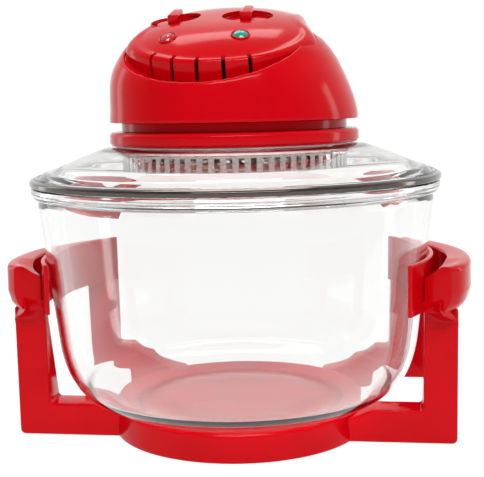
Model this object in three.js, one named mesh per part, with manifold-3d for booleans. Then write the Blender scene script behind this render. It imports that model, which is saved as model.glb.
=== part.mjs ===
// A bowl-type halogen air fryer: glass bowl in a red stand, glass lid with the heater head on top.
// Millimetres, +Z up. Origin: on the table, on the bowl's axis. -Y is the front, where the controls face.
import * as THREE from "three";
import { mergeVertices } from "three/addons/utils/BufferGeometryUtils.js";
import Module from "manifold-3d";

const wasm = await Module();
wasm.setup();

// ---- driving dimensions ----
const GAP = 0.35; // clearance between pieces that touch
const ROUND = 40; // segments of a large turned piece
const RIM_R = 167.5; // outer radius of the bowl's rim and of the lid's steel band
const RIM_Z = 207.6; // top of the bowl's rim
const GLASS_T = 5; // wall of the bowl and of the lid
const RING_R = 106; // foot ring of the stand
const RING_TOP = 24.6;
const FOOT_H = 1.2; // how far the rubber pads stand below the plastic
const LEG_W = 26.5; // square section of the stand's legs
const FRONT_LEG = { x: 178.5, y: -48.5, bottom: FOOT_H, start: 88 };
const REAR_LEG = { x: 159, y: 76, bottom: 20, start: 66 };
const RAIL_IN = 157.8; // inner radius of the carrying grips, clear of the bowl
const RAIL_T = 3.4;
const RAIL_ANGLES = [-28.5, 35]; // degrees behind the X axis
const GRIP_Z = [108, 145];
const SLOT_Z = 116; // floor of the finger slot in each grip
const GRIP_OUTER = [
  [154, -57],
  [172, -63],
  [181, -52],
  [187, -36],
  [190.5, -16],
  [191, 5],
  [189, 28],
  [183, 52],
  [172, 76],
  [153, 107],
];
const SLOT_OUTER = [
  [153.5, -53],
  [163, -40],
  [169.5, -20],
  [172, 2],
  [170.5, 25],
  [164, 48],
  [152, 68],
  [143, 78],
];
const COLLAR_R = 101.8;
const COLLAR_Z = [238.3, 249];
const NECK_R = 92;
const SHELL_Z = 256.8; // bottom edge of the head's skirt
const SHELL_T = 3;
const POD_R = 83; // the raised control housing
const POD_TILT = 16; // degrees that it leans to the front
const POD_X = -5; // how far its middle stands off the axis
const POD_Z = 309;
const POD_WALL = 15;
const POD_RISE = 17.5; // how far its crowned top stands above the wall
const POD_FOOT = -30;
const LEDGE = { z: 296, tilt: 7.4, thick: 2.2 }; // the shelf round the housing, inside the skirt
const SCALLOP = { z: 334, tilt: 26.4, turn: -8 }; // the slanting cut that bares the housing's front
const KNOBS = [
  { name: "timer", x: -40, y: 3 },
  { name: "temperature", x: 19, y: 0 },
];
const LAMPS = [
  { name: "heat_lamp", x: -37.5, y: -47.5 },
  { name: "power_lamp", x: 19.5, y: -51 },
];
const VENT_CENTRE = -7.2; // degrees from the front
const VENT_STEP = 14;
const VENT_H = 18;
const SHROUD_R = 92;
const SHROUD_Z = [214, 237.9];
const SHROUD_SLOTS = 30;
const FLANK = [[78, -28], [58, 58], [50, 92]]; // the housing's sides, narrowing to the back
const RECESS_Z = 308.6; // the skirt is cut down to here under the folded handle
const PIVOT = { x: 73.4, y: 5, z: 316 }; // the carrying handle's hinge, at the arms' inner faces
const BAR_Y = 93; // the back of the carrying handle, folded down
const PLUNGER = { r: 3.1, y: 90 };
const rad = THREE.MathUtils.degToRad;

// ---- materials ----
const finish = (color, roughness, metalness = 0, opacity = 1) =>
  new THREE.MeshStandardMaterial({ color, roughness, metalness, opacity, transparent: opacity < 1 });
const RED = finish(0xd2000c, 0.22);
const DARK_RED = finish(0xb0000a, 0.3);
const GLASS = finish(0xe8f2ef, 0.03, 0, 0.25);
const STEEL = finish(0xc9c9c6, 0.22, 1);
const DARK_STEEL = finish(0x55524c, 0.2, 1);
const RUBBER = finish(0x1d1d1e, 0.85);
const SILICONE = finish(0xe3e3de, 0.6);
const CERAMIC = finish(0xefe9dc, 0.55);
const QUARTZ = finish(0xe9d9c2, 0.1);
const BLACK = finish(0x1c1c1e, 0.5);
const GREEN_LENS = finish(0x1f9c86, 0.1);
const RED_LENS = finish(0xd8303a, 0.1);

// ---- solids ----
// A closed geometry as a manifold solid that faces outwards.
function solid(geometry) {
  const bare = geometry.index ? geometry.toNonIndexed() : geometry.clone();
  bare.deleteAttribute("normal");
  bare.deleteAttribute("uv");
  const merged = mergeVertices(bare, 1e-4);
  const triVerts = new Uint32Array(merged.index.array);
  const vertProperties = merged.attributes.position.array;
  const made = new wasm.Manifold(new wasm.Mesh({ numProp: 3, vertProperties, triVerts }));
  if (made.volume() > 0) return made;
  for (let i = 0; i < triVerts.length; i += 3)
    [triVerts[i + 1], triVerts[i + 2]] = [triVerts[i + 2], triVerts[i + 1]];
  return new wasm.Manifold(new wasm.Mesh({ numProp: 3, vertProperties, triVerts }));
}

function toGeometry(made) {
  const mesh = made.getMesh();
  const geometry = new THREE.BufferGeometry();
  geometry.setAttribute("position", new THREE.BufferAttribute(new Float32Array(mesh.vertProperties), 3));
  geometry.setIndex(new THREE.BufferAttribute(new Uint32Array(mesh.triVerts), 1));
  return geometry.toNonIndexed();
}

const moved = (geometry, x, y, z) => geometry.translate(x, y, z);

// A solid turned about Z from a closed loop of [radius, height] points.
function turned(points, segments = ROUND) {
  const loop = [...points, points[0]].map(([r, z]) => new THREE.Vector2(r, z));
  return solid(new THREE.LatheGeometry(loop, segments).rotateX(Math.PI / 2));
}

const box = (x0, x1, y0, y1, z0, z1) =>
  solid(moved(new THREE.BoxGeometry(x1 - x0, y1 - y0, z1 - z0), (x0 + x1) / 2, (y0 + y1) / 2, (z0 + z1) / 2));

// A round bar along Z from z0 to z1.
const rod = (r, z0, z1, x = 0, y = 0, segments = 24) =>
  solid(moved(new THREE.CylinderGeometry(r, r, z1 - z0, segments).rotateX(Math.PI / 2), x, y, (z0 + z1) / 2));

// A round bar along X from x0 to x1.
const rodX = (r, x0, x1, y, z, segments = 20) =>
  solid(moved(new THREE.CylinderGeometry(r, r, x1 - x0, segments).rotateZ(Math.PI / 2), (x0 + x1) / 2, y, z));

// An outline in X and Y raised from z0 to z1.
function raised(points, z0, z1) {
  const shape = new THREE.Shape(points.map(([x, y]) => new THREE.Vector2(x, y)));
  const made = new THREE.ExtrudeGeometry(shape, { depth: z1 - z0, bevelEnabled: false });
  return solid(moved(made, 0, 0, z0));
}

// An annular sector about Z, between two angles in degrees from +X.
function sector(inner, outer, from, to, z0, z1, steps = 12) {
  const arc = (r, a, b) =>
    Array.from({ length: steps + 1 }, (_, i) => {
      const angle = rad(a + ((b - a) * i) / steps);
      return [r * Math.cos(angle), r * Math.sin(angle)];
    });
  return raised([...arc(outer, from, to), ...arc(inner, to, from)], z0, z1);
}

const cut = (made, ...tools) => tools.reduce((left, tool) => left.subtract(tool), made);
const join = (made, ...others) => others.reduce((sum, other) => sum.add(other), made);

const oven = new THREE.Group();
function part(name, made, material, group = oven) {
  const mesh = new THREE.Mesh(toGeometry(made), material);
  mesh.name = name;
  group.add(mesh);
  return mesh;
}

// ---- stand ----
// Two distances out from the middle, in rising order on either side of it.
const span = (side, a, b) => [side * a, side * b].sort((p, q) => p - q);

function stand() {
  const ring = turned([
    [RING_R - 0.4, FOOT_H],
    [RING_R, 3],
    [RING_R - 0.6, RING_TOP - 3],
    [RING_R - 2.4, RING_TOP],
    [RING_R - 10, RING_TOP - 1.4],
    [RING_R - 18, RING_TOP - 4.6],
    [RING_R - 20, 7],
    [0, 7],
    [0, 4],
    [RING_R - 24, 4],
    [RING_R - 24, FOOT_H],
  ]);
  const padPlaces = [45, 135, 225, 315].map((a) => [94 * Math.cos(rad(a)), 94 * Math.sin(rad(a))]);
  const pockets = padPlaces.map(([x, y]) => rod(8 + GAP, 0, 3 + GAP, x, y, 16));
  const legSlots = [];
  for (const side of [-1, 1])
    for (const leg of [FRONT_LEG, REAR_LEG]) {
      const ends = span(side, leg.start - GAP, 130);
      legSlots.push(box(...ends, leg.y - GAP, leg.y + LEG_W + GAP, 0, RING_TOP + 2));
    }
  part("base_ring", cut(ring, ...pockets, ...legSlots), RED);
  const padNames = ["rear_right", "rear_left", "front_left", "front_right"];
  padPlaces.forEach(([x, y], i) => part(`rubber_foot_${padNames[i]}`, rod(8, 0, 3, x, y, 16), RUBBER));

  for (const [side, word] of [[-1, "left"], [1, "right"]]) {
    frontLeg(side, word);
    rearLeg(side, word);
    grip(side, word);
  }
}

// A front leg: a bar on the table from the ring, and a post up to the grip.
function frontLeg(side, word) {
  const { x, y, bottom, start } = FRONT_LEG;
  const bar = box(...span(side, start, x), y, y + LEG_W, bottom, bottom + LEG_W);
  const post = box(...span(side, x - LEG_W, x), y, y + LEG_W, bottom, GRIP_Z[0] - GAP);
  const cradle = turned(bowlOutside(GAP));
  part(`${word}_front_leg`, cut(join(bar, post), cradle), RED);
}

// A rear leg leaves the ring on a raised heel, so it clears the table outside the heel.
function rearLeg(side, word) {
  const { x, y, bottom, start } = REAR_LEG;
  const heel = box(...span(side, start, 118), y, y + LEG_W, FOOT_H, bottom + LEG_W);
  const bar = box(...span(side, start, x), y, y + LEG_W, bottom, bottom + LEG_W);
  const post = box(...span(side, x - LEG_W, x), y, y + LEG_W, bottom, GRIP_Z[0] - GAP);
  const cradle = turned(bowlOutside(GAP));
  part(`${word}_rear_leg`, cut(join(heel, bar, post), cradle), RED);
}

// A carrying grip: a bowed block with a finger slot, and a thin rail that follows the bowl.
function grip(side, word) {
  const mirrored = (points) => points.map(([x, y]) => [side * x, y]);
  const [from, to] = RAIL_ANGLES;
  const block = raised(mirrored([[120, -44], ...GRIP_OUTER, [110, 77]]), ...GRIP_Z);
  const slot = raised(mirrored([[100, -53], ...SLOT_OUTER, [100, 78]]), SLOT_Z, GRIP_Z[1] + 5);
  const normal = new THREE.Vector3(-0.4 * side, -0.08, 1).normalize();
  const lean = new THREE.Quaternion().setFromUnitVectors(new THREE.Vector3(0, 0, 1), normal);
  const corner = new THREE.Vector3(side * 163, -59, 138.2); // a point on the sloping facet over the slot
  const place = new THREE.Matrix4().compose(corner, lean, new THREE.Vector3(1, 1, 1));
  const facet = box(-60, 60, -60, 60, 0, 60).transform(place.toArray());
  const bowlSide = rod(RAIL_IN + RAIL_T, GRIP_Z[0] - 1, GRIP_Z[1] + 9, 0, 0, ROUND * 2);
  const angles = side > 0 ? [from, to] : [180 - to, 180 - from];
  const rail = sector(RAIL_IN, RAIL_IN + RAIL_T + 0.3, ...angles, GRIP_Z[0], GRIP_Z[1] + 3);
  part(`${word}_grip`, join(cut(block, bowlSide, slot, facet), rail), RED);
}

// ---- bowl ----
const BOWL = [
  [0, 20.4],
  [78, 20.4],
  [90, 22.4],
  [104, 25.6],
  [116, 29.6],
  [127, 36],
  [135.5, 43.5],
  [141.5, 52],
  [145.5, 62],
  [148.5, 76],
  [151, 98],
  [154, 125],
  [157.5, 158],
  [160.5, 185],
  [162, 196],
];

// The bowl's outer form grown by a clearance, closed on the axis, to cut its neighbours with.
function bowlOutside(clearance) {
  const grown = BOWL.map(([r, z]) => [r === 0 ? 0 : r + clearance, z - clearance]);
  return [...grown, [0, 196 - clearance]];
}

function bowl() {
  const inside = BOWL.slice(1, -1)
    .map(([r, z]) => [r - (z < 40 ? 3.2 : GLASS_T), z + (z < 40 ? GLASS_T : 1)])
    .reverse();
  const made = turned(
    [
      ...BOWL,
      [165.5, 198],
      [RIM_R - 0.6, 202],
      [RIM_R - 1, 206],
      [165, RIM_Z],
      [158, RIM_Z],
      [157, RIM_Z - 1.5],
      ...inside,
      [0, 20.4 + GLASS_T],
    ],
  );
  part("glass_bowl", made, GLASS);
}

// ---- lid ----
function lid() {
  const glass = turned(
    [
      [97, 232.4],
      [104, 231.8],
      [112, 229.4],
      [130, 222.5],
      [145, 216.2],
      [150.5, 211],
      [151, 203],
      [155, 203],
      [155.6, 208],
      [163, 208],
      [163, 216.6],
      [156, 217.8],
      [146, 221],
      [130, 227.5],
      [112, 234.4],
      [104, 236.8],
      [97, 237.3],
    ],
  );
  part("glass_lid", glass, GLASS);
  const band = turned(
    [
      [163 + GAP, 208],
      [RIM_R, 208],
      [RIM_R, 213.4],
      [165, 214.6],
      [163 + GAP, 214.6],
    ],
  );
  part("lid_band", band, DARK_STEEL);
  part(
    "lid_seal",
    turned([
      [95.2, 231.5],
      [96.6, 231.5],
      [96.6, 237.8],
      [95.2, 237.8],
    ]),
    SILICONE,
  );
  part(
    "clamp_ring",
    turned([
      [93, 229.6],
      [102.5, 229.6],
      [102.5, 231],
      [93, 231],
    ]),
    STEEL,
  );
}

// ---- heater, under the head ----
function heater() {
  const wall = turned(
    [
      [SHROUD_R, SHROUD_Z[0]],
      [SHROUD_R, SHROUD_Z[1]],
      [SHROUD_R - 1.2, SHROUD_Z[1]],
      [SHROUD_R - 1.2, SHROUD_Z[0]],
    ],
    SHROUD_SLOTS * 2,
  );
  const slots = Array.from({ length: SHROUD_SLOTS }, (_, i) => {
    const made = moved(new THREE.BoxGeometry(6, 4, 14), SHROUD_R, 0, 223.4);
    return solid(made.rotateZ((2 * Math.PI * (i + 0.5)) / SHROUD_SLOTS));
  });
  part("heater_shroud", cut(wall, ...slots), STEEL);

  const rays = Array.from({ length: 20 }, (_, i) => {
    const made = moved(new THREE.BoxGeometry(54, 5, 6), 53, 0, 215.5);
    return solid(made.rotateZ((2 * Math.PI * i) / 20));
  });
  part("fan_grille", cut(rod(SHROUD_R - 1.6, 215, 216.4, 0, 0, ROUND), ...rays), STEEL);

  part("heat_shield", cut(rod(90.2, 233, 234.2, 0, 0, ROUND), rod(9, 230, 236)), STEEL);
  const tube = new THREE.TorusGeometry(70, 4.6, 10, ROUND).translate(0, 0, 223.6);
  part("halogen_tube", solid(tube), QUARTZ);
  for (const [side, word] of [[-1, "left"], [1, "right"]]) {
    const holder = box(...span(side, 63, 77), -7, 7, 228.6, 232.6);
    part(`${word}_tube_holder`, holder, CERAMIC);
  }
}

// A fan of flat pitched blades on a bored hub.
function fan(reach, z0, z1, blades) {
  const hub = cut(rod(9, z0, z1), rod(3.4, z0 - 1, z1 + 1));
  const blade = (i) => {
    const made = new THREE.BoxGeometry(reach - 7, 14, 1.2).rotateX(rad(28));
    moved(made, 7 + (reach - 7) / 2, 0, (z0 + z1) / 2);
    return solid(made.rotateZ((2 * Math.PI * i) / blades));
  };
  const bore = rod(3.4, z0 - 1, z1 + 1);
  return cut(join(hub, ...Array.from({ length: blades }, (_, i) => blade(i))), bore);
}

function drive() {
  part("convection_fan", fan(56, 219.5, 228.5, 6), STEEL);
  part("cooling_fan", fan(44, 242, 251, 8), BLACK);
  part("motor_shaft", rod(3, 219, 276), STEEL);
  part("fan_motor", cut(rod(26, 266, 296, 0, 0, 32), rod(3.5, 265, 277)), DARK_STEEL);
  const strap = box(-91, 91, -12, 12, 262.6, 265.4);
  const ends = [-1, 1].map((side) => box(...span(side, 88, 91), -12, 12, SHELL_Z, 263));
  part("motor_bracket", cut(join(strap, ...ends), rod(6, 260, 268)), STEEL);
}

// ---- head ----
const SKIRT = [
  [101.2, SHELL_Z],
  [101, 262],
  [98.9, 277],
  [95.6, 291],
  [90.6, 303],
  [84, 313.5],
  [76, 322],
  [64, 329],
  [48, 334],
  [28, 337],
  [0, 338.5],
];

function collar() {
  const made = turned([
    [COLLAR_R - 0.6, COLLAR_Z[0]],
    [COLLAR_R, COLLAR_Z[0] + 2],
    [COLLAR_R, COLLAR_Z[1] - 2],
    [COLLAR_R - 1.2, COLLAR_Z[1]],
    [NECK_R, COLLAR_Z[1] + 0.4],
    [NECK_R, SHELL_Z - GAP],
    [NECK_R - 5, SHELL_Z - GAP],
    [NECK_R - 5, COLLAR_Z[0]],
  ]);
  part("head_collar", made, RED);
}

// Puts a solid made about the pod's own axis into the head.
const podMatrix = new THREE.Matrix4()
  .makeRotationX(rad(POD_TILT))
  .premultiply(new THREE.Matrix4().makeTranslation(POD_X, 0, POD_Z));
const inPod = (made) => made.transform(podMatrix.toArray());

// A slab between two heights over a plane that crosses the axis at z and falls to the front.
function slab({ z, tilt, turn = 0 }, from, to) {
  const place = new THREE.Matrix4()
    .makeRotationZ(rad(turn))
    .multiply(new THREE.Matrix4().makeRotationX(rad(tilt)))
    .premultiply(new THREE.Matrix4().makeTranslation(0, 0, z));
  return box(-150, 150, -150, 150, from, to).transform(place.toArray());
}

// Height of the pod's crowned top over its ledge, at a radius from its axis.
const crown = (r) => POD_WALL + POD_RISE * (1 - (r / POD_R) ** 3.2);

// What lies outside the pod's flat sides, drawn in by an inset.
function flankCutters(inset) {
  return [-1, 1].map((side) => {
    const edge = FLANK.map(([x, y]) => [side * (x - inset), y]);
    return raised([...edge, [side * 130, FLANK[2][1]], [side * 130, FLANK[0][1] - inset]], -80, 90);
  });
}

function skirt() {
  const inner = SKIRT.map(([r, z]) => [Math.max(0, r - SHELL_T), r > 60 ? z - SHELL_T * 0.35 : z - SHELL_T]);
  inner[0] = [SKIRT[0][0] - SHELL_T, SHELL_Z];
  const shell = turned([...SKIRT, ...inner.reverse()]);
  const opening = inPod(cut(rod(POD_R + 1, -40, 80, 0, 0, ROUND), ...flankCutters(-1)));
  const handleRecess = box(-150, 150, -6, 150, RECESS_Z, 400);
  const scallop = slab(SCALLOP, 0, 120);
  const inletCut = box(-15, 15, 80, 110, 259.5, 282.5);
  const plungerHole = rod(PLUNGER.r + 0.5, 280, 330, 0, PLUNGER.y, 16);
  part("head_shell", cut(shell, opening, scallop, handleRecess, inletCut, plungerHole), RED);
}

function pod() {
  const radii = [80, 72, 60, 45, 28];
  const top = [[POD_R, POD_WALL - 2.5], [POD_R - 0.8, POD_WALL - 0.4], ...radii.map((r) => [r, crown(r)])];
  const under = [...radii].reverse().map((r) => [r - 0.6, crown(r) - SHELL_T]);
  const outer = turned([[0, POD_FOOT], [POD_R, POD_FOOT], ...top, [0, crown(0)]]);
  const hollow = turned([
    [0, crown(0) - SHELL_T],
    ...under,
    [POD_R - SHELL_T, POD_WALL - 4],
    [POD_R - SHELL_T, POD_FOOT - 1],
    [0, POD_FOOT - 1],
  ]);
  const cap = cut(cut(outer, ...flankCutters(0)), cut(hollow, ...flankCutters(SHELL_T)));
  const inside = SKIRT.map(([r, z]) => {
    const drop = r > 60 ? 1.8 : SHELL_T + 0.8;
    return [Math.max(0, r - SHELL_T - 0.5), z - drop];
  });
  const core = inPod(cut(rod(POD_R - 1, POD_FOOT - 10, 20, 0, 0, ROUND), ...flankCutters(1)));
  const ledge = cut(turned([...inside, [0, SHELL_Z - 1.8]]).intersect(slab(LEDGE, -LEDGE.thick, 0)), core);
  let made = join(cut(inPod(cap), slab(LEDGE, -90, -LEDGE.thick)), ledge);
  for (const i of [-2, -1, 0, 1, 2]) {
    const vent = moved(new THREE.BoxGeometry(2.8, 14, VENT_H), 0, -POD_R, VENT_H / 2 + 0.2);
    made = made.subtract(inPod(solid(vent.rotateZ(rad(VENT_CENTRE + VENT_STEP * i)))));
  }
  for (const { x, y } of KNOBS) made = made.subtract(inPod(rod(21.5, 18, 50, x, y, 32)));
  for (const { x, y } of LAMPS) made = made.subtract(inPod(rod(6.9, 10, 50, x, y, 24)));
  const pinHoles = rodX(3.9, -90, 90, PIVOT.y, PIVOT.z);
  const plungerHole = rod(PLUNGER.r + 0.5, 280, 330, 0, PLUNGER.y, 16);
  made = cut(made, pinHoles, plungerHole);
  part("control_housing", made, RED);
}

// A knob in its dished well: a disc with a finger ridge across it.
function knob({ name, x, y }) {
  const seat = crown(Math.hypot(x, y)) - 11;
  const wellLoop = [[21.2, 0], [21.2, 5.5], [19.6, 5.5], [18.4, 2], [0, 2], [0, 0]];
  const well = cut(
    turned(wellLoop.map(([r, z]) => [r, seat + z]), 32),
    rod(3.8, seat - 2, seat + 6, 0, 0, 20),
  );
  const discLoop = [[16.8, 2.5], [17.4, 4.6], [16.2, 6.6], [0, 7.2], [0, 2.5]];
  const disc = turned(discLoop.map(([r, z]) => [r, seat + z]), 32);
  const ridge = box(-4.4, 4.4, -16, 16, seat + 5, seat + 18.5);
  const bore = rod(3.3, seat - 2, seat + 6, 0, 0, 20);
  const at = (made) => inPod(made.translate([x, y, 0]));
  part(`${name}_well`, at(well), DARK_RED);
  part(`${name}_knob`, at(cut(join(disc, ridge), bore)), RED);
  part(`${name}_spindle`, at(rod(3, 8, seat + 5.6, 0, 0, 20)), STEEL);
  part(`${name}_switch`, at(cut(box(-14, 14, -12, 12, -1, 12), rod(3.5, 7, 13, 0, 0, 20))), BLACK);
}

function lamp({ name, x, y }, lens) {
  const h = crown(Math.hypot(x, y));
  const lensLoop = [[6.5, -7], [6.5, -0.6], [5.6, 0.8], [3, 1.7], [0, 2], [0, -7]];
  const made = turned(lensLoop.map(([r, z]) => [r, h + z]), 24);
  part(name, inPod(made.translate([x, y, 0])), lens);
}

// The carrying handle: a bow on pins at the housing's sides, folded down round the back of the head.
function carryHandle() {
  const armT = 5;
  const halfDepth = 4.5;
  const end = PIVOT.x + armT;
  const outside = [[end, 0.5], [end, 28], [76.5, 44], [70, 60], [58, 76], [42, 88], [28, BAR_Y]];
  const insideBow = [[25, BAR_Y - 5.5], [39, 82.5], [53, 71.5], [64, 56.5]];
  const inside = [...insideBow, [PIVOT.x - 2.2, 42], [PIVOT.x, 27], [PIVOT.x, 0.5]];
  const mirror = (points) => [...points].reverse().map(([x, y]) => [-x, y]);
  const outline = [...outside, ...mirror(outside), ...mirror(inside), ...inside];
  const shifted = outline.map(([x, y]) => [x + POD_X, y]);
  const bow = raised(shifted, PIVOT.z - halfDepth, PIVOT.z + halfDepth);
  part("carry_handle", cut(bow, rodX(3.8, -115, 115, PIVOT.y, PIVOT.z)), RED);
  for (const [side, word] of [[-1, "left"], [1, "right"]]) {
    const [from, to] = span(side, 62, end).map((x) => x + POD_X);
    part(`handle_pin_${word}`, rodX(3.4, from, to, PIVOT.y, PIVOT.z), STEEL);
  }
  part("safety_plunger", rod(PLUNGER.r, 291, PIVOT.z - halfDepth - 0.7, 0, PLUNGER.y, 16), BLACK);
  part("safety_switch", box(-8, 8, 74, 91.5, 281.8, 289.8), BLACK);
}

function powerInlet() {
  const block = box(-14, 14, 84, 101, 260.5, 281.5);
  const socket = box(-10.5, 10.5, 90, 104, 264, 278);
  const places = [[-6.5, 269.5], [0, 273], [6.5, 269.5]];
  const pins = places.map(([x, z]) => box(x - 1, x + 1, 89, 98, z - 2.5, z + 2.5));
  part("power_inlet", join(cut(block, socket), ...pins), BLACK);
}

stand();
bowl();
lid();
heater();
drive();
collar();
skirt();
pod();
KNOBS.forEach(knob);
lamp(LAMPS[0], RED_LENS);
lamp(LAMPS[1], GREEN_LENS);
carryHandle();
powerInlet();

export default oven;
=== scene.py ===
"""A bowl-type halogen air fryer: red stand, glass bowl and lid, and the heater head with its dials."""

import math

import bmesh
import bpy
import numpy as np
from mathutils import Matrix, Vector


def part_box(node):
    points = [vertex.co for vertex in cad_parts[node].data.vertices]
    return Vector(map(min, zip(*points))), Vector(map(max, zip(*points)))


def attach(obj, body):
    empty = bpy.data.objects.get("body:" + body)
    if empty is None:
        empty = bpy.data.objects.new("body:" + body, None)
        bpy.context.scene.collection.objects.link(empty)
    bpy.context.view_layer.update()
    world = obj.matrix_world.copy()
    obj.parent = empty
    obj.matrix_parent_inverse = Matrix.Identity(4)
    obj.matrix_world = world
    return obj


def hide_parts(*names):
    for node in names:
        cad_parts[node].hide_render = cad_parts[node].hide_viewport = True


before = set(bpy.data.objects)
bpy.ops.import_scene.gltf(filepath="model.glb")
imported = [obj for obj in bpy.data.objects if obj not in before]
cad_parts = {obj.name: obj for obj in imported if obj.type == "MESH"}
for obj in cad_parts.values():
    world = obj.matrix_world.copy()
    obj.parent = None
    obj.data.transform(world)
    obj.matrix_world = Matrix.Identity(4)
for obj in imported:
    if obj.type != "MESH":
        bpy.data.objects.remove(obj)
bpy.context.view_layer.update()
MM = 0.001
TAU = 2 * math.pi

# ---- sizes, in millimetres, worked out from the frame where it gives them ----


def high(node, axis):
    """A CAD node's highest coordinate along an axis."""
    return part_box(node)[1][axis] / MM


def low(node, axis):
    """A CAD node's lowest coordinate along an axis."""
    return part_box(node)[0][axis] / MM


# Stand. Angles in plan are measured from the X axis, to the back.
RING_R = high("base_ring", 0)
RING_TOP = high("base_ring", 2)
FOOT_H = low("base_ring", 2)
POST_WIDTH = 26.5
FRONT_OUT = high("right_front_leg", 0)
REAR_OUT = high("right_rear_leg", 0)
GRIP_Z = (108.0, 145.0)
GRIP_FRONT = math.atan2(-63, 172)
SLOT_END = math.radians(29)
SLOT_Z = 116  # the floor of the finger slot
RAIL_IN, RAIL_T = 157.8, 3.4
RAIL_ANGLES = (-28.5, 35)
GRIP_OUTER = [
    (172, -63), (181, -52), (187, -36), (190.5, -16), (191, 5), (189, 28), (183, 52), (172, 76), (153, 107),
]
SLOT_OUTER = [
    (152, -57), (153.5, -50), (163, -40), (169.5, -20), (172, 2), (170.5, 25), (164, 48), (152, 68),
    (143, 78),
]

# Glass and heater.
RIM_R = high("lid_band", 0)
SHROUD_R = high("heater_shroud", 0)
SHROUD_Z = (low("heater_shroud", 2), high("heater_shroud", 2))
SHROUD_SLOTS = 64
SHEET_T = 0.9

# Head. The housing, or pod, is a tilted drum with a crowned top, off the head's centre line.
COLLAR_R = high("head_collar", 0)
COLLAR_Z0 = low("head_collar", 2)
SHELL_Z = low("head_shell", 2)
SHELL_R = high("head_shell", 0)
POD_R = 83.0
POD_X = -5.0
POD_TILT = math.radians(16)
POD_Z = 309.0
POD_WALL = 15.0
POD_RISE = 17.5
FLANK = ((78, -28), (58, 58))  # two points of the housing's flat side, in plan
VENT_CENTRE, VENT_STEP = -7.2, 14  # degrees round the housing
KNOB_PLACES = {"timer": (-40, 3), "temperature": (19, 0)}
LAMP_PLACES = {"heat_lamp": (-37.5, -47.5), "power_lamp": (19.5, -51)}
WELL_HOLE_R, LAMP_HOLE_R = 20.6, 6.7
SCALLOP_Z, SCALLOP_TILT, SCALLOP_TURN = 334.0, math.radians(26.4), math.radians(-8)
LEDGE_Z, LEDGE_TILT = 296.0, math.radians(7.4)
LEDGE_IN = 66
RECESS_Y, RECESS_Z = -6.0, 308.4  # the handle lies in the head behind and above these
PIVOT_Y, PIVOT_Z = 5, 316
COLUMNS = 256  # round the skirt, the ledge and the housing

# ---- camera and studio ----

FRONT_LIGHT = 0.3  # the room's light from in front, where 1 is its light from behind


def make_camera():
    """The photograph's view: a little to the right of the front, from rim height, with a slight roll."""
    azimuth, pitch, roll = math.radians(8.218), math.radians(7.68), math.radians(-1.253)
    distance, height, pan = 0.8398, 0.2722, math.radians(-0.175)
    camera = bpy.data.objects.new("camera", bpy.data.cameras.new("camera"))
    bpy.context.scene.collection.objects.link(camera)
    place = Vector((math.sin(azimuth) * distance, -math.cos(azimuth) * distance, height))
    turn = azimuth + pan
    ahead = Vector((-math.sin(turn) * math.cos(pitch), math.cos(turn) * math.cos(pitch), -math.sin(pitch)))
    right = Vector((math.cos(turn), math.sin(turn), 0))
    up = right.cross(ahead)
    rolled_right = math.cos(roll) * right + math.sin(roll) * up
    rolled_up = -math.sin(roll) * right + math.cos(roll) * up
    axes = Matrix((rolled_right, rolled_up, -ahead)).transposed().to_4x4()
    camera.matrix_world = Matrix.Translation(place) @ axes
    camera.data.sensor_width = 36
    camera.data.lens = 75.5
    camera.data.shift_x = 0.0046
    camera.data.shift_y = -0.0018
    camera.data.clip_start = 0.01
    bpy.context.scene.camera = camera


def area_light(name, place, target, size, power, colour=(1, 1, 1)):
    light = bpy.data.lights.new(name, "AREA")
    light.shape = "RECTANGLE"
    light.size, light.size_y = size
    light.energy = power
    light.color = colour
    obj = bpy.data.objects.new(name, light)
    obj.location = place
    obj.rotation_euler = (Vector(target) - Vector(place)).to_track_quat("-Z", "Y").to_euler()
    bpy.context.scene.collection.objects.link(obj)


def make_world():
    """White to look at. As a light it is bright above and at the sides and dim at the front."""
    world = bpy.data.worlds.new("studio")
    bpy.context.scene.world = world
    world.use_nodes = True
    tree = world.node_tree
    place = tree.nodes.new("ShaderNodeTexCoord")
    split = tree.nodes.new("ShaderNodeSeparateXYZ")
    ramp = tree.nodes.new("ShaderNodeValToRGB")
    background = tree.nodes["Background"]
    ramp.color_ramp.elements[0].position, ramp.color_ramp.elements[1].position = 0.3, 0.9
    ramp.color_ramp.elements[0].color = (*[FRONT_LIGHT] * 3, 1)
    ramp.color_ramp.elements[1].color = (1, 1, 1, 1)
    shift = tree.nodes.new("ShaderNodeMapRange")
    shift.inputs["From Min"].default_value = -1
    tree.links.new(place.outputs["Generated"], split.inputs[0])
    tree.links.new(split.outputs["Y"], shift.inputs["Value"])
    tree.links.new(shift.outputs["Result"], ramp.inputs["Fac"])
    tree.links.new(ramp.outputs["Color"], background.inputs["Color"])
    seen = tree.nodes.new("ShaderNodeBackground")
    seen.inputs["Color"].default_value = (1, 1, 1, 1)
    path = tree.nodes.new("ShaderNodeLightPath")
    mix = tree.nodes.new("ShaderNodeMixShader")
    tree.links.new(path.outputs["Is Camera Ray"], mix.inputs[0])
    tree.links.new(background.outputs[0], mix.inputs[1])
    tree.links.new(seen.outputs[0], mix.inputs[2])
    tree.links.new(mix.outputs[0], tree.nodes["World Output"].inputs["Surface"])


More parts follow.
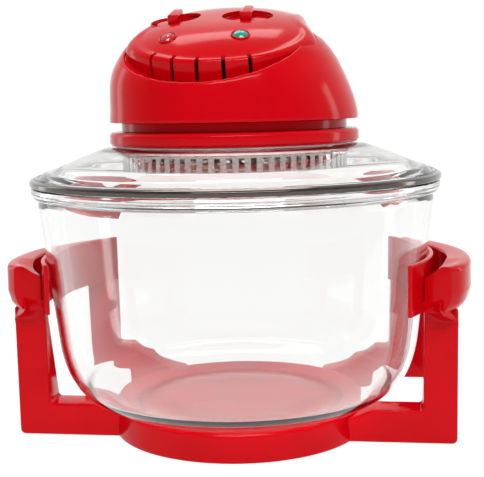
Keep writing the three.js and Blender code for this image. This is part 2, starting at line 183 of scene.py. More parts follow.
def make_studio():
    make_world()
    area_light("front_overhead", (0.25, -1.3, 1.7), (0, 0, 0.2), (1.5, 0.5), 30)
    area_light("back_overhead", (-0.25, 1.05, 2.05), (0, 0, 0.3), (1.2, 0.5), 8)
    area_light("left_back", (-1.5, 0.75, 0.55), (0, 0, 0.25), (0.3, 1.2), 1.6)
    area_light("right_back", (1.6, 0.6, 0.5), (0, 0, 0.25), (0.25, 1.0), 3)
    bpy.ops.mesh.primitive_plane_add(size=30)
    floor = bpy.context.object
    floor.name = "floor"
    paper = principled("floor_paper", (0.15, 0.15, 0.15), 0.9, Specular_IOR_Level=0.0)
    paper.node_tree.nodes["Principled BSDF"].inputs["Emission Color"].default_value = (1, 1, 1, 1)
    paper.node_tree.nodes["Principled BSDF"].inputs["Emission Strength"].default_value = 0.95
    floor.data.materials.append(paper)
    bpy.context.scene.view_settings.view_transform = "Standard"


# ---- materials ----


def principled(name, colour, roughness=0.4, metallic=0.0, **sockets):
    """A node material. Extra sockets are the shader's own, such as Coat_Weight=0.5."""
    material = bpy.data.materials.new(name)
    material.use_nodes = True
    shader = material.node_tree.nodes["Principled BSDF"]
    shader.inputs["Base Color"].default_value = (*colour, 1)
    shader.inputs["Roughness"].default_value = roughness
    shader.inputs["Metallic"].default_value = metallic
    for socket, value in sockets.items():
        shader.inputs[socket.replace("_", " ")].default_value = value
    return material


def add_node(material, kind, **values):
    node = material.node_tree.nodes.new(kind)
    for key, value in values.items():
        if key in node.inputs:
            node.inputs[key].default_value = value
        else:
            setattr(node, key, value)
    return node


def link(material, source, output, target, socket):
    material.node_tree.links.new(source.outputs[output], target.inputs[socket])


def noise(material, scale, detail=2.0, stretch=(1, 1, 1)):
    """Noise in the object's own space, in metres."""
    place = add_node(material, "ShaderNodeTexCoord")
    mapping = add_node(material, "ShaderNodeMapping", Scale=stretch)
    made = add_node(material, "ShaderNodeTexNoise", Scale=scale, Detail=detail)
    link(material, place, "Object", mapping, "Vector")
    link(material, mapping, "Vector", made, "Vector")
    return made


def vary_colour(material, source, dark, light, span=(0.35, 0.65)):
    ramp = add_node(material, "ShaderNodeValToRGB")
    ramp.color_ramp.elements[0].position, ramp.color_ramp.elements[1].position = span
    ramp.color_ramp.elements[0].color = (*dark, 1)
    ramp.color_ramp.elements[1].color = (*light, 1)
    link(material, source, "Fac", ramp, "Fac")
    link(material, ramp, "Color", material.node_tree.nodes["Principled BSDF"], "Base Color")


def vary_roughness(material, source, smooth, rough):
    ramp = add_node(material, "ShaderNodeMapRange")
    ramp.inputs["To Min"].default_value, ramp.inputs["To Max"].default_value = smooth, rough
    link(material, source, "Fac", ramp, "Value")
    link(material, ramp, "Result", material.node_tree.nodes["Principled BSDF"], "Roughness")


def add_bump(material, source, strength, distance):
    bump = add_node(material, "ShaderNodeBump", Strength=strength, Distance=distance)
    link(material, source, "Fac", bump, "Height")
    link(material, bump, "Normal", material.node_tree.nodes["Principled BSDF"], "Normal")


def moulded(name, dark, light, roughness, grain=0.05):
    """Glossy moulded plastic: faint flow marks in the colour, uneven polish and a soft orange peel."""
    made = principled(name, light, roughness=roughness[0], Specular_IOR_Level=0.11)
    vary_colour(made, noise(made, 14, 3), dark, light)
    vary_roughness(made, noise(made, 60, 4), *roughness)
    add_bump(made, noise(made, 900, 2), grain, 0.0002)
    return made


def brushed(name, dark, light, roughness, stretch):
    """Metal with fine lines drawn out along one axis."""
    made = principled(name, light, roughness=roughness[0], metallic=1.0)
    lines = noise(made, 220, 4, stretch)
    vary_colour(made, lines, dark, light)
    vary_roughness(made, lines, *roughness)
    add_bump(made, lines, 0.05, 0.0001)
    return made


def glass(name, tint, ior=1.47):
    """Clear glass that lets lamplight through to what it covers."""
    made = principled(name, tint, roughness=0.0, Transmission_Weight=1.0, IOR=ior)
    vary_roughness(made, noise(made, 6, 3), 0.0, 0.02)
    path = add_node(made, "ShaderNodeLightPath")
    clear = add_node(made, "ShaderNodeBsdfTransparent", Color=(*tint, 1))
    mix = add_node(made, "ShaderNodeMixShader")
    link(made, path, "Is Shadow Ray", mix, 0)
    link(made, made.node_tree.nodes["Principled BSDF"], "BSDF", mix, 1)
    link(made, clear, "BSDF", mix, 2)
    link(made, mix, "Shader", made.node_tree.nodes["Material Output"], "Surface")
    return made


RED = moulded("red_plastic", (0.5, 0.0, 0.003), (0.58, 0.0, 0.005), (0.1, 0.16))
DEEP_RED = moulded("dark_red_plastic", (0.4, 0.0, 0.002), (0.5, 0.0, 0.004), (0.18, 0.28))
CLEAR = glass("clear_glass", (0.94, 0.94, 0.933))
STEEL = brushed("bright_steel", (0.62, 0.62, 0.6), (0.8, 0.8, 0.78), (0.14, 0.28), (1, 1, 14))
BAND = brushed("band_steel", (0.075, 0.064, 0.056), (0.15, 0.13, 0.115), (0.08, 0.16), (1, 1, 30))
RUBBER = moulded("black_rubber", (0.012, 0.012, 0.012), (0.02, 0.02, 0.02), (0.6, 0.8), 0.3)
BLACK = moulded("black_plastic", (0.012, 0.012, 0.013), (0.022, 0.022, 0.024), (0.35, 0.5), 0.2)
SILICONE = moulded("white_silicone", (0.72, 0.72, 0.7), (0.8, 0.8, 0.78), (0.45, 0.6), 0.2)
CERAMIC = moulded("cream_ceramic", (0.7, 0.65, 0.55), (0.78, 0.74, 0.64), (0.5, 0.65), 0.3)
QUARTZ = glass("quartz_tube", (0.98, 0.94, 0.88), 1.46)
GREEN = principled("green_lens", (0.01, 0.36, 0.27), 0.05, Transmission_Weight=0.3, IOR=1.49)
PINK = principled("red_lens", (0.62, 0.03, 0.04), 0.06, Transmission_Weight=0.35, IOR=1.49)
# painted shade: a near-black red that stands for the shade inside the head, used for the band behind the
# vents
PAINTED_SHADE = moulded("painted_cavity_shade", (0.02, 0.002, 0.002), (0.03, 0.003, 0.003), (0.6, 0.8), 0.1)

# ---- mesh helpers ----


def rounded(points, radius, steps=5, closed=True):
    """The outline with its corners rounded. radius is one number, or one for each point."""
    count = len(points)
    radii = radius if hasattr(radius, "__len__") else [radius] * count
    made = []
    for i, point in enumerate(points):
        here = np.array(point, float)
        if radii[i] <= 0 or (not closed and i in (0, count - 1)):
            made.append(tuple(here))
            continue
        before = np.array(points[i - 1], float) - here
        after = np.array(points[(i + 1) % count], float) - here
        lengths = np.linalg.norm(before), np.linalg.norm(after)
        before, after = before / lengths[0], after / lengths[1]
        half = math.acos(max(-1, min(1, float(before @ after)))) / 2
        if half > math.radians(88):
            made.append(tuple(here))
            continue
        reach = min(radii[i] / math.tan(half), 0.45 * min(lengths))
        start, end = here + before * reach, here + after * reach
        for k in range(steps + 1):
            t = k / steps
            made.append(tuple((1 - t) ** 2 * start + 2 * t * (1 - t) * here + t * t * end))
    return made


def curve_through(points, steps=6):
    """A smooth Catmull-Rom curve through the points."""
    p = [np.array(q, float) for q in points]
    p = [2 * p[0] - p[1], *p, 2 * p[-1] - p[-2]]
    made = []
    for a, b, c, d in zip(p, p[1:], p[2:], p[3:]):
        for k in range(steps):
            t = k / steps
            low_terms = 2 * b + (c - a) * t
            high_terms = (2 * a - 5 * b + 4 * c - d) * t**2 + (3 * b - a - 3 * c + d) * t**3
            made.append(tuple((low_terms + high_terms) / 2))
    return [*made, tuple(points[-1])]


def new_mesh(name, vertices, faces, material, sharp=32):
    """A smooth-shaded object from points in millimetres, with its creases kept sharp."""
    mesh = bpy.data.meshes.new(name)
    mesh.from_pydata([tuple(c * MM for c in v) for v in vertices], [], faces)
    obj = bpy.data.objects.new(name, mesh)
    bpy.context.scene.collection.objects.link(obj)
    mesh.materials.append(material)
    finish(obj, sharp)
    return obj


def finish(obj, sharp=32):
    """Welds, faces outwards, shades smooth and marks creases."""
    made = bmesh.new()
    made.from_mesh(obj.data)
    bmesh.ops.remove_doubles(made, verts=made.verts, dist=1e-6)
    bmesh.ops.dissolve_degenerate(made, edges=made.edges, dist=1e-7)
    bmesh.ops.recalc_face_normals(made, faces=made.faces)
    for face in made.faces:
        face.smooth = True
    for edge in made.edges:
        edge.smooth = len(edge.link_faces) == 2 and edge.calc_face_angle(0) < math.radians(sharp)
    made.to_mesh(obj.data)
    made.free()


def lathe(name, loop, material, segments=160, sharp=32):
    """A closed [radius, height] loop turned about Z. Points on the axis are shared."""
    rows = len(loop)
    vertices = []
    for i in range(segments):
        c, s = math.cos(TAU * i / segments), math.sin(TAU * i / segments)
        vertices += [(r * c, r * s, z) for r, z in loop]
    faces = []
    for i in range(segments):
        a, b = i * rows, ((i + 1) % segments) * rows
        for k in range(rows):
            n = (k + 1) % rows
            if loop[k][0] > 0 or loop[n][0] > 0:
                faces.append((a + k, b + k, b + n, a + n))
    return new_mesh(name, vertices, faces, material, sharp)


def modify(obj, kind, **values):
    """Adds a modifier and applies it at once."""
    modifier = obj.modifiers.new(kind.lower(), kind)
    for key, value in values.items():
        setattr(modifier, key, value)
    bpy.context.view_layer.update()
    graph = bpy.context.evaluated_depsgraph_get()
    mesh = bpy.data.meshes.new_from_object(obj.evaluated_get(graph))
    obj.modifiers.clear()
    obj.data = mesh
    return obj


def bevelled(obj, width, segments=4, angle=40):
    """Rounds the edges that turn by more than the angle."""
    limit = {"limit_method": "ANGLE", "angle_limit": math.radians(angle)}
    modify(obj, "BEVEL", width=width * MM, segments=segments, **limit)
    finish(obj, 40)
    return obj


def around(count, n, ring=False):
    """Faces between count outlines of n points each, and from the last to the first if they make a ring."""
    faces = []
    for i in range(count if ring else count - 1):
        a, b = i * n, (i + 1) % count * n
        faces += [(a + k, b + k, b + (k + 1) % n, a + (k + 1) % n) for k in range(n)]
    return faces


def swept(name, sections, material, width=1.6, angle=50):
    """Joins matching [x, y, z] outlines into one closed body with softened ends."""
    n = len(sections[0])
    vertices = [v for section in sections for v in section]
    ends = [tuple(range(n)), tuple(range(len(vertices) - n, len(vertices)))]
    faces = [*ends, *around(len(sections), n)]
    return bevelled(new_mesh(name, vertices, faces, material), width, 4, angle)


def prism(name, outline, z0, z1, material):
    """An outline in X and Y raised from z0 to z1."""
    n = len(outline)
    vertices = [(x, y, z0) for x, y in outline] + [(x, y, z1) for x, y in outline]
    faces = [tuple(range(n)), tuple(range(n, 2 * n)), *around(2, n)]
    return new_mesh(name, vertices, faces, material)


def carve(obj, cutters, sharp=32):
    """Cuts the cutters out of obj and removes them."""
    for cutter in cutters:
        modify(obj, "BOOLEAN", operation="DIFFERENCE", solver="EXACT", object=cutter)
        bpy.data.objects.remove(cutter)
    finish(obj, sharp)
    return obj


def merge(obj, others):
    """Joins other objects' meshes into obj as they are."""
    made = bmesh.new()
    made.from_mesh(obj.data)
    for other in others:
        made.from_mesh(other.data)
        bpy.data.objects.remove(other)
    made.to_mesh(obj.data)
    made.free()


def placed(obj, matrix):
    """Moves the mesh itself, so that the object's own place stays at the origin."""
    obj.data.transform(matrix)
    return obj


def move(x, y, z):
    return Matrix.Translation(Vector((x, y, z)) * MM)


def settle(obj, body, slot, *nodes):
    """Puts a piece on the body it rides on and hides the CAD nodes it stands for. The slot argument, the
    name of its finish, is not used.
    """
    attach(obj, body)
    if nodes:
        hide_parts(*nodes)
    return obj


SIDES = ((-1, "left"), (1, "right"))
POD = Matrix.Translation((POD_X * MM, 0, POD_Z * MM)) @ Matrix.Rotation(POD_TILT, 4, "X")


def crown(r):
    """Height of the housing's crowned top over its foot, at a radius from its own axis."""
    return POD_WALL + POD_RISE * (1 - (r / POD_R) ** 3.2)


# ---- stand ----


def make_ring():
    top = RING_TOP
    outline = [
        (RING_R - 24, FOOT_H),
        (RING_R - 0.3, FOOT_H),
        (RING_R, 4),
        (RING_R - 1, top - 2.5),
        (RING_R - 3, top),
        (RING_R - 10, top - 1.4),
        (RING_R - 18, top - 4.6),
        (RING_R - 20.5, 7),
        (0, 7),
        (0, 4),
        (RING_R - 24, 4),
    ]
    radii = [0.6, 1, 4, 2, 2.2, 3, 2, 2, 0, 0, 0]
    ring = lathe("foot_ring", rounded(outline, radii), RED)
    settle(ring, "stand", "red_plastic", "base_ring")


def side_outline(points, side, y0, y1, name, draft=0.0):
    """A leg: an outline in X and Z on its side. Draft narrows its post's inner face to the back."""
    n = len(points)
    vertices = [(side * x, y0, z) for x, z in points]
    for x, z in points:
        drawn = draft if z > 34 and x < 168 else 0
        vertices.append((side * (x + drawn), y1, z))
    faces = [tuple(range(n)), tuple(range(n, 2 * n)), *around(2, n)]
    return bevelled(new_mesh(name, vertices, faces, RED), 2.2)


def make_legs():
    for side, word in SIDES:
        node = f"{word}_front_leg"
        out = FRONT_OUT
        inner = out - POST_WIDTH
        top = GRIP_Z[0] + 1
        outline = [
            (86, FOOT_H), (out, FOOT_H), (out, top), (inner, top), (inner, 29.7), (inner - 2, 27.7),
            (113, 27.7), (96, 21), (86, 20),
        ]
        radii = [0, 5, 0, 0, 2, 2, 3, 3, 0]
        depth = low(node, 1), high(node, 1)
        leg = side_outline(rounded(outline, radii, 6), side, *depth, f"front_leg_{word}", draft=8)
        merge(leg, [make_flare(side, inner + 0.4, out - 0.4, depth[0])])
        settle(leg, "stand", "red_plastic", node)
        node = f"{word}_rear_leg"
        out = REAR_OUT
        inner = out - POST_WIDTH
        outline = [
            (66, FOOT_H), (118, FOOT_H), (118, 20), (out, 20), (out, top), (inner, top), (inner, 46.5),
            (118, 46.5), (104, 36), (90, 28), (80, 24), (66, 21),
        ]
        radii = [0, 4, 4, 4, 0, 0, 4, 3, 8, 8, 8, 0]
        depth = low(node, 1), high(node, 1)
        leg = side_outline(rounded(outline, radii, 6), side, *depth, f"rear_leg_{word}")
        settle(leg, "stand", "red_plastic", node)


def plan_radius(points, angle):
    """How far out a smooth line in plan lies, in the direction of an angle behind the X axis."""
    angles = [math.atan2(y, x) for x, y in points]
    return float(np.interp(angle, angles, [math.hypot(x, y) for x, y in points]))


def make_flare(side, inner, out, front):
    """The sweep of a front post forward and up into the front face of its grip."""
    sections = []
    for x in np.linspace(inner, out, 12):
        face = x * math.tan(GRIP_FRONT)
        foot = [(front + 0.1, 94), (front - 1, 100)]
        head = [(face + 5, 106), (face + 1, 110.5), (face + 0.4, 116)]
        outline = [*curve_through([*foot, *head]), (face + 3, 119), (front + 8, 119), (front + 8, 94)]
        width = [1 - 0.036 * max(0, front - y) for y, _ in outline]
        sections.append([(side * (inner + (x - inner) * w), y, z) for (y, z), w in zip(outline, width)])
    return swept("post_flare", sections, RED, 1.2)


def make_grips():
    """Each grip is a bowed block with a finger slot, joined by its floor to a thin rail round the bowl."""
    z0, z1 = GRIP_Z
    outer_line, slot_line = curve_through(GRIP_OUTER, 8), curve_through(SLOT_OUTER, 8)
    first = GRIP_FRONT
    last = math.radians(RAIL_ANGLES[1])
    rail_out = RAIL_IN + RAIL_T
    steps = 56
    for side, word in SIDES:
        sections = []
        for i in range(steps + 1):
            angle = first + (last - first) * i / steps
            out = plan_radius(outer_line, angle)
            slot = rail_out + 0.5
            if angle < SLOT_END:
                slot = max(plan_radius(slot_line, angle), slot)
            x, y = slot * math.cos(angle), slot * math.sin(angle)
            inner_top = min(z1 - 0.8, 138.2 + 0.4 * (x - 163) + 0.08 * (y + 59))  # lower to the front
            points = [
                (rail_out - 1, z0), (out - 7, z0), (out - 2.5, z0 + 6), (out, z0 + 15), (out - 0.4, z1 - 1),
                ((slot + 2 * out) / 3, z1 + 0.0), (slot, inner_top), (slot, SLOT_Z), (rail_out - 1, SLOT_Z),
            ]
            loop = rounded(points, [0, 5, 8, 8, 4, 20, 2.4, 0.2, 0], 5)
            sections.append([(side * r * math.cos(angle), r * math.sin(angle), z) for r, z in loop])
        block = swept(f"grip_{word}", sections, RED)
        rail = []
        start = math.radians(RAIL_ANGLES[0])
        for i in range(steps + 1):
            angle = start + (last - start) * i / steps
            x, y = side * math.cos(angle), math.sin(angle)
            section = [(RAIL_IN, z0), (rail_out, z0), (rail_out, z1 + 3), (RAIL_IN, z1 + 3)]
            rail.append([(r * x, r * y, z) for r, z in rounded(section, 1.4, 4)])
        merge(block, [swept(f"rail_{word}", rail, RED, 1.2, 60)])
        settle(block, "stand", "red_plastic", f"{word}_grip")


def make_feet():
    for place in ("front_left", "front_right", "rear_left", "rear_right"):
        node = f"rubber_foot_{place}"
        a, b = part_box(node)
        loop = rounded([(0, 0), (8, 0), (8, 3), (0, 3)], [0, 0.8, 0.4, 0], 3)
        foot = lathe(f"foot_pad_{place}", loop, RUBBER, 48)
        placed(foot, Matrix.Translation(((a.x + b.x) / 2, (a.y + b.y) / 2, 0)))
        settle(foot, "stand", "rubber", node)


# ---- glass ----

BOWL = [  # the outer face, radius and height
    (78, 20.4), (90, 22.4), (104, 25.6), (116, 29.6), (127, 36), (135.5, 43.5), (141.5, 52), (145.5, 62),
    (148.5, 76), (151, 98), (154, 125), (157.5, 158), (160.5, 185), (161.5, 193),
]


def make_bowl():
    outside = curve_through([(60, 20.2), *BOWL])
    floor = [(r - 3.4, z + 4.6) for r, z in BOWL if z < 40]
    wall = [(r - 4.6, z + 1) for r, z in BOWL if z >= 40]
    inside = curve_through([(56, 25.2), *floor, *wall])
    lip_out = [(161.8, 197), (RIM_R - 2.2, 199.5), (RIM_R - 0.8, 203), (RIM_R - 1.2, 207.5)]
    rim = rounded([*lip_out, (158.5, 207.5), (157, 203)], [2, 2, 3, 2.4, 2.4, 3], 5)
    bowl = lathe("bowl_glass", [(0, 20.2), *outside, *rim, *reversed(inside), (0, 25.2)], CLEAR, 224)
    settle(bowl, "bowl", "glass", "glass_bowl")


def make_lid():
    under = [(97, 234.6), (104, 234.1), (112, 231.8), (130, 224.9), (143, 219.2), (150.5, 213)]
    over = [(156, 217.8), (146, 221), (130, 227.5), (112, 234.4), (104, 236.8), (97, 237.3)]
    lip = [(151, 203), (155, 203), (155.6, 208), (163, 208), (163, 216.4)]
    lip = rounded(lip, [1, 1, 0.6, 0.4, 1.6], 4)
    lid = lathe("lid_glass", [*curve_through(under), *lip, *curve_through(over)], CLEAR, 224)
    settle(lid, "lid", "glass", "glass_lid")
    band = rounded(
        [
            (163.3, 208.4), (RIM_R - 0.4, 208.4), (RIM_R, 209), (RIM_R, 211.8), (RIM_R - 0.8, 212.8),
            (164.5, 213.8), (163.3, 213.8),
        ],
        [0, 0.4, 0.6, 0.8, 0.8, 0.5, 0], 3,
    )
    settle(lathe("lid_trim_band", band, BAND, 224), "lid", "dark_steel", "lid_band")


# ---- heater ----


def make_shroud():
    """The steel cage below the head: a sheet with a row of round-ended slots, wrapped into a drum."""
    end_steps = 6
    pitch = TAU / SHROUD_SLOTS
    z0, z1 = SHROUD_Z
    middle = (z0 + z1) / 2 - 0.6
    half_w, half_h = 0.24 * pitch, 8.4
    radius = half_w * SHROUD_R
    loop = []
    for end in (1, -1):
        for k in range(end_steps + 1):
            a = math.pi * k / end_steps
            rise = half_h - radius + radius * math.sin(a)
            loop.append((end * radius * math.cos(a) / SHROUD_R, middle + end * rise))
    frame_loop = []  # the edge of one slot's share of the sheet, point for point
    for u, z in loop:
        edge_u = pitch / 2 * (1 if u > 1e-9 else -1 if u < -1e-9 else 0)
        if abs(z - middle) > half_h - radius + 1e-6:
            z = z1 if z > middle else z0
        frame_loop.append((edge_u, z))
    vertices, faces = [], []
    n = len(loop)
    for i in range(SHROUD_SLOTS):
        base = len(vertices)
        for u, z in loop + frame_loop:
            a = i * pitch + u
            vertices.append((SHROUD_R * math.cos(a), SHROUD_R * math.sin(a), z))
        faces += [tuple(base + k for k in face) for face in around(2, n)]
    drum = new_mesh("heater_cage", vertices, faces, STEEL)
    modify(drum, "SOLIDIFY", thickness=SHEET_T * MM, offset=-1)
    finish(drum)
    settle(drum, "lid", "steel", "heater_shroud")


# ---- head ----

SKIRT = [
    (SHELL_R, SHELL_Z), (SHELL_R - 0.2, 262), (98.9, 277), (95.6, 291), (90.6, 303),
    (84, 313.5), (76, 322), (64, 329),
]
SKIRT_CURVE = curve_through(SKIRT, 24)


def pod_radius(angle, grow=0.0):
    """The housing's outline: a circle with two flat sides that narrow to the back, blended together."""
    c, s = math.cos(angle), math.sin(angle)
    (x0, y0), (x1, y1) = FLANK
    nx, ny = y1 - y0, x0 - x1
    size = math.hypot(nx, ny)
    facing = (abs(c) * nx + s * ny) / size
    flat = (x0 * nx + y0 * ny) / size
    reach = flat / facing if facing > 1e-6 else 1e9
    tightness = 26  # of the blend between the circle and the flats
    return (POD_R**-tightness + reach**-tightness) ** (-1 / tightness) + grow


SKIRT_EDGE = [(0.1, -0.7), (0.6, 0.1), (1.4, 0.5), (2.3, 0.3), (2.8, -0.6)]  # in and up from the outer face


def smooth_step(t):
    t = max(0.0, min(1.0, t))
    return t * t * (3 - 2 * t)


def lean(z):
    """How far the head's centre line has moved over to the housing's, at a height."""
    return POD_X * smooth_step((z - 260) / 42)


def profile_radius(z):
    """The skirt's radius at a height."""
    return float(np.interp(z, [p[1] for p in SKIRT_CURVE], [p[0] for p in SKIRT_CURVE]))


def rim_point(angle):
    """Where the skirt stops at an angle: at the scallop, the handle's recess or the housing's wall."""
    c, s = math.cos(angle), math.sin(angle)
    inverse = POD.inverted()
    fall_x, fall_y = -math.sin(SCALLOP_TURN), math.cos(SCALLOP_TURN)
    for r, z in SKIRT_CURVE:
        x, y = r * c + lean(z), r * s
        local = inverse @ (Vector((x, y, z)) * MM) / MM
        wall = pod_radius(math.atan2(local.y, local.x), 0.7)
        above = z > SCALLOP_Z + (x * fall_x + y * fall_y) * math.tan(SCALLOP_TILT)
        recess = z > RECESS_Z and y > RECESS_Y
        meets_wall = z > LEDGE_Z - 12 and math.hypot(local.x, local.y) < wall
        if above or recess or meets_wall:
            return r, z
    return SKIRT_CURVE[-1]


def make_skirt():
    """The head's lower shell. Its front is scalloped so that the housing's vented wall shows."""
    rows = 40
    heights = [rim_point(TAU * i / COLUMNS)[1] for i in range(COLUMNS)]
    loops = []
    for i, z1 in enumerate(heights):
        angle = TAU * i / COLUMNS
        c, s = math.cos(angle), math.sin(angle)
        zs = np.linspace(SHELL_Z, z1, rows)
        outer = [(profile_radius(z), z) for z in zs]
        r, z = outer[-1]
        outer = outer[:-2]
        rim = [(r - a, z + b) for a, b in SKIRT_EDGE]
        inner = [(a - 2.9, min(b - 0.6, z - 1.4)) for a, b in reversed(outer[1:])]
        column = [*outer, *rim, *inner, (SHELL_R - 2.8, SHELL_Z + 0.3), (SHELL_R - 1.4, SHELL_Z - 0.1)]
        loops.append([(a * c + lean(b), a * s, b) for a, b in column])
    n = len(loops[0])
    vertices = [v for loop in loops for v in loop]
    skirt = new_mesh("head_skirt", vertices, around(COLUMNS, n, ring=True), RED, 50)
    a, b = (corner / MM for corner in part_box("power_inlet"))
    opening = [(a.x - 0.2, a.y - 5), (b.x + 0.2, a.y - 5), (b.x + 0.2, b.y + 20), (a.x - 0.2, b.y + 20)]
    carve(skirt, [prism("cut_inlet", opening, a.z - 0.2, b.z + 0.2, PAINTED_SHADE)], 50)
    settle(skirt, "lid", "red_plastic", "head_shell")


def make_housing():
    """The raised control housing: a vented wall, a soft shoulder and a crowned top with wells."""
    loops = []
    for i in range(COLUMNS):
        angle = TAU * i / COLUMNS
        edge = pod_radius(angle)
        soft = 3.4 + 14 * math.cos(angle) ** 4
        top = crown(edge - soft)
        drop = 3.2 + (top - crown(POD_R) + 3) * math.cos(angle) ** 4
        foot_y = edge * math.sin(angle)
        fall = foot_y * (math.tan(LEDGE_TILT) - math.sin(POD_TILT))
        foot = (LEDGE_Z - POD_Z + fall) / math.cos(POD_TILT) - 1
        column = [(edge, foot + (top - drop - foot) * t / 6) for t in range(7)]
        for k in range(1, 9):
            a = math.pi / 2 * k / 8
            column.append((edge - soft * (1 - math.cos(a)), top - drop + drop * math.sin(a)))
        for f in np.linspace(1, 0.04, 22)[1:]:
            r = (edge - soft) * f
            column.append((r, crown(r)))
        loops.append([(r * math.cos(angle), r * math.sin(angle), h) for r, h in column])
    n = len(loops[0])
    vertices = [v for loop in loops for v in loop]
    faces = [face for i, face in enumerate(around(COLUMNS, n, ring=True)) if i % n < n - 1]
    faces.append(tuple(i * n + n - 1 for i in range(COLUMNS)))
    shell = new_mesh("control_pod", vertices, faces, RED)
    modify(shell, "SOLIDIFY", thickness=2.6 * MM, offset=-1)
    finish(shell)
    cutters = []
    for r, places in ((WELL_HOLE_R, KNOB_PLACES), (LAMP_HOLE_R, LAMP_PLACES)):
        for name, (x, y) in places.items():
            cutter = lathe(f"cut_{name}", [(0, 0), (r, 0), (r, 60), (0, 60)], PAINTED_SHADE, 72)
            cutters.append(placed(cutter, move(x, y, 8)))
    slot_outline = rounded([(-1.5, -8), (1.5, -8), (1.5, 8), (-1.5, 8)], 0.6)
    for i in range(-2, 3):
        slot = prism(f"cut_vent_{i}", slot_outline, -0.2, 30, PAINTED_SHADE)
        turn = math.radians(VENT_CENTRE + VENT_STEP * i)
        cutters.append(placed(slot, Matrix.Rotation(turn, 4, "Z") @ move(0, -POD_R - 2.5, 0)))
    carve(shell, cutters, 30)
    placed(shell, POD)
    settle(shell, "lid", "red_plastic", "control_housing")


def make_ledge():
    """The shelf from the inside of the skirt's edge to the housing's wall."""
    vertices = []
    for i in range(COLUMNS):
        angle = TAU * i / COLUMNS
        c, s = math.cos(angle), math.sin(angle)
        r, z = rim_point(angle)
        for a, h in ((LEDGE_IN, z - 3.4), (r - 2.6, z - 3.4), (r - 2.6, z - 1.3), (LEDGE_IN, z - 1.3)):
            vertices.append((a * c + lean(z), a * s, h))
    ledge = new_mesh("housing_ledge", vertices, around(COLUMNS, 4, ring=True), RED)
    settle(ledge, "lid", "red_plastic")


def make_collar():
    z0, neck = COLLAR_Z0, 92
    ring = [(COLLAR_R - 1.6, z0), (COLLAR_R, z0 + 2), (COLLAR_R, z0 + 8.4), (COLLAR_R - 1.4, z0 + 10.6)]
    tube = [(neck, z0 + 11.2), (neck, SHELL_Z - 0.3), (neck - 5, SHELL_Z - 0.3), (neck - 5, z0)]
    loop = rounded([*ring, *tube], [0.8, 1.6, 1.8, 1.4, 0.8, 0.6, 0.4, 0.4], 5)
    settle(lathe("collar_ring", loop, RED, 192), "lid", "red_plastic", "head_collar")


def make_dials():
    for name, (x, y) in KNOB_PLACES.items():
        seat = crown(math.hypot(x, y)) - 11
        at = POD @ move(x, y, seat)
        bowl = [(0, 0), (20.9, 0), (20.9, 8.2), (20.1, 8.2), (18.8, 3.2), (17, 2), (0, 2)]
        dish = lathe(f"{name}_dish", rounded(bowl, [0, 0.5, 0.3, 0.3, 2, 1, 0], 4), DEEP_RED, 96)
        settle(placed(dish, at), "lid", "dark_red_plastic", f"{name}_well")
        disc = rounded([(0, 2.6), (16.6, 2.6), (17.2, 5), (15.4, 7.2), (0, 7.8)], [0, 0.5, 1.4, 2, 0], 5)
        knob = lathe(f"{name}_dial_disc", disc, RED, 96)
        ridge_outline = [(-4.7, -12.8), (4.7, -12.8), (3.9, 12.8), (-3.9, 12.8)]
        ridge = prism(f"{name}_dial", rounded(ridge_outline, 2.2, 5), 5.5, 16.3, RED)
        bevelled(ridge, 1.4, 4, 50)
        merge(ridge, [knob])
        placed(ridge, at)
        settle(ridge, f"{name}_dial", "red_plastic", f"{name}_knob")


def make_lamps():
    """Each lamp is a faceted lens, domed a little, in a thin raised bezel that follows the crowned top."""
    lens_loop = [(0, -6), (5.9, -6), (5.9, 0.5), (4.7, 1.5), (2.4, 2.2), (0, 2.4)]
    rim_loop = rounded([(6.1, -4), (7.5, -4), (7.5, 0.5), (6.9, 1), (6.1, 0.7)], 0.3, 3)
    lenses = {"heat_lamp": (PINK, "red_lens"), "power_lamp": (GREEN, "green_lens")}
    for name, (x, y) in LAMP_PLACES.items():
        material, slot = lenses[name]
        r = math.hypot(x, y)
        slope = math.atan((crown(r - 1) - crown(r + 1)) / 2)
        at = POD @ move(x, y, crown(r)) @ Matrix.Rotation(slope, 4, Vector((-y, x, 0)))
        lens = lathe(f"{name}_lens", lens_loop, material, 12, 1)
        settle(placed(lens, at), "lid", slot, name)
        rim = lathe(f"{name}_bezel", rim_loop, DEEP_RED, 64)
        settle(placed(rim, at), "lid", "dark_red_plastic")


def make_painted_vent_shade():
    """Painted shade: a dark band inside the housing, close behind its vents, so that the vents look dark as
    the shade inside the head would make them.
    """
    steps = 40
    vertices = []
    for i in range(steps + 1):
        angle = math.radians(-90 + VENT_CENTRE - 48 + 96 * i / steps)
        for r, h in ((72, -4), (73.5, -4), (73.5, 19), (72, 19)):
            vertices.append((r * math.cos(angle), r * math.sin(angle), h))
    faces = [(0, 1, 2, 3), tuple(4 * steps + k for k in range(4)), *around(steps + 1, 4)]
    # the band's dark colour is painted shade, not a black plastic part, though its finish is given as black
    # plastic
    settle(placed(new_mesh("painted_vent_shade", vertices, faces, PAINTED_SHADE), POD), "lid", "black_plastic")


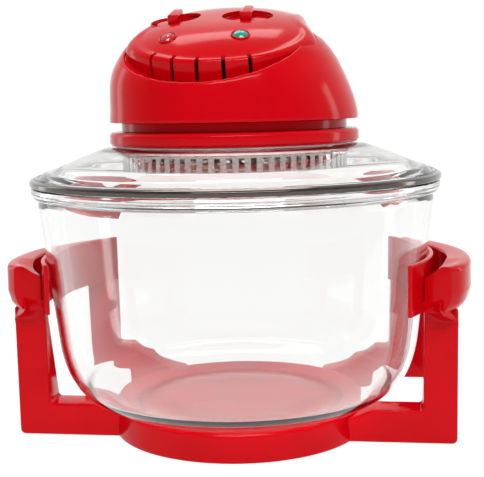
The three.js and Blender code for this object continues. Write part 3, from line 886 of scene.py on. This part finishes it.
def make_handle():
    """The carrying handle: a soft-edged bow on two pins, folded down round the back of the head."""
    half = [(76, -2), (76, 30), (72.5, 46), (66, 60), (55, 73.5), (40, 84.5), (27, 90.2)]
    path = curve_through([*half, (0, 90.6), *[(-x, y) for x, y in reversed(half)]], 5)
    section = rounded([(-2.4, -4.4), (2.4, -4.4), (2.4, 4.4), (-2.4, 4.4)], 1.6, 4)
    n = len(section)
    vertices = []
    for i, (x, y) in enumerate(path):
        ahead = np.array(path[min(i + 1, len(path) - 1)]) - np.array(path[max(i - 1, 0)])
        ahead = ahead / np.linalg.norm(ahead)
        vertices += [(x - ahead[1] * a + POD_X, y + ahead[0] * a, PIVOT_Z + b) for a, b in section]
    faces = [tuple(range(n)), tuple(range(len(vertices) - n, len(vertices))), *around(len(path), n)]
    bow = new_mesh("folding_handle", vertices, faces, RED, 40)
    settle(bow, "handle", "red_plastic", "carry_handle")
    pin_loop = rounded([(0, 62), (3.3, 62), (3.3, 78.3), (0, 78.3)], [0, 0.3, 1.2, 0], 4)
    for side, word in SIDES:
        pin = lathe(f"hinge_pin_{word}", pin_loop, STEEL, 40)
        placed(pin, move(POD_X, PIVOT_Y, PIVOT_Z) @ Matrix.Rotation(side * math.pi / 2, 4, "Y"))
        settle(pin, "handle", "steel", f"handle_pin_{word}")


CAD_LOOKS = {
    "lid_seal": SILICONE,
    "clamp_ring": STEEL,
    "fan_grille": STEEL,
    "heat_shield": STEEL,
    "halogen_tube": QUARTZ,
    "left_tube_holder": CERAMIC,
    "right_tube_holder": CERAMIC,
    "convection_fan": STEEL,
    "cooling_fan": BLACK,
    "motor_shaft": STEEL,
    "fan_motor": BAND,
    "motor_bracket": STEEL,
    "timer_spindle": STEEL,
    "temperature_spindle": STEEL,
    "timer_switch": BLACK,
    "temperature_switch": BLACK,
    "safety_plunger": BLACK,
    "safety_switch": BLACK,
    "power_inlet": BLACK,
}


def dress_cad_nodes():
    for node, material in CAD_LOOKS.items():
        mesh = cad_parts[node].data
        mesh.materials.clear()
        mesh.materials.append(material)


make_camera()
make_studio()
make_ring()
make_legs()
make_grips()
make_feet()
make_bowl()
make_lid()
make_shroud()
make_collar()
make_skirt()
make_ledge()
make_housing()
make_dials()
make_lamps()
make_painted_vent_shade()
make_handle()
dress_cad_nodes()
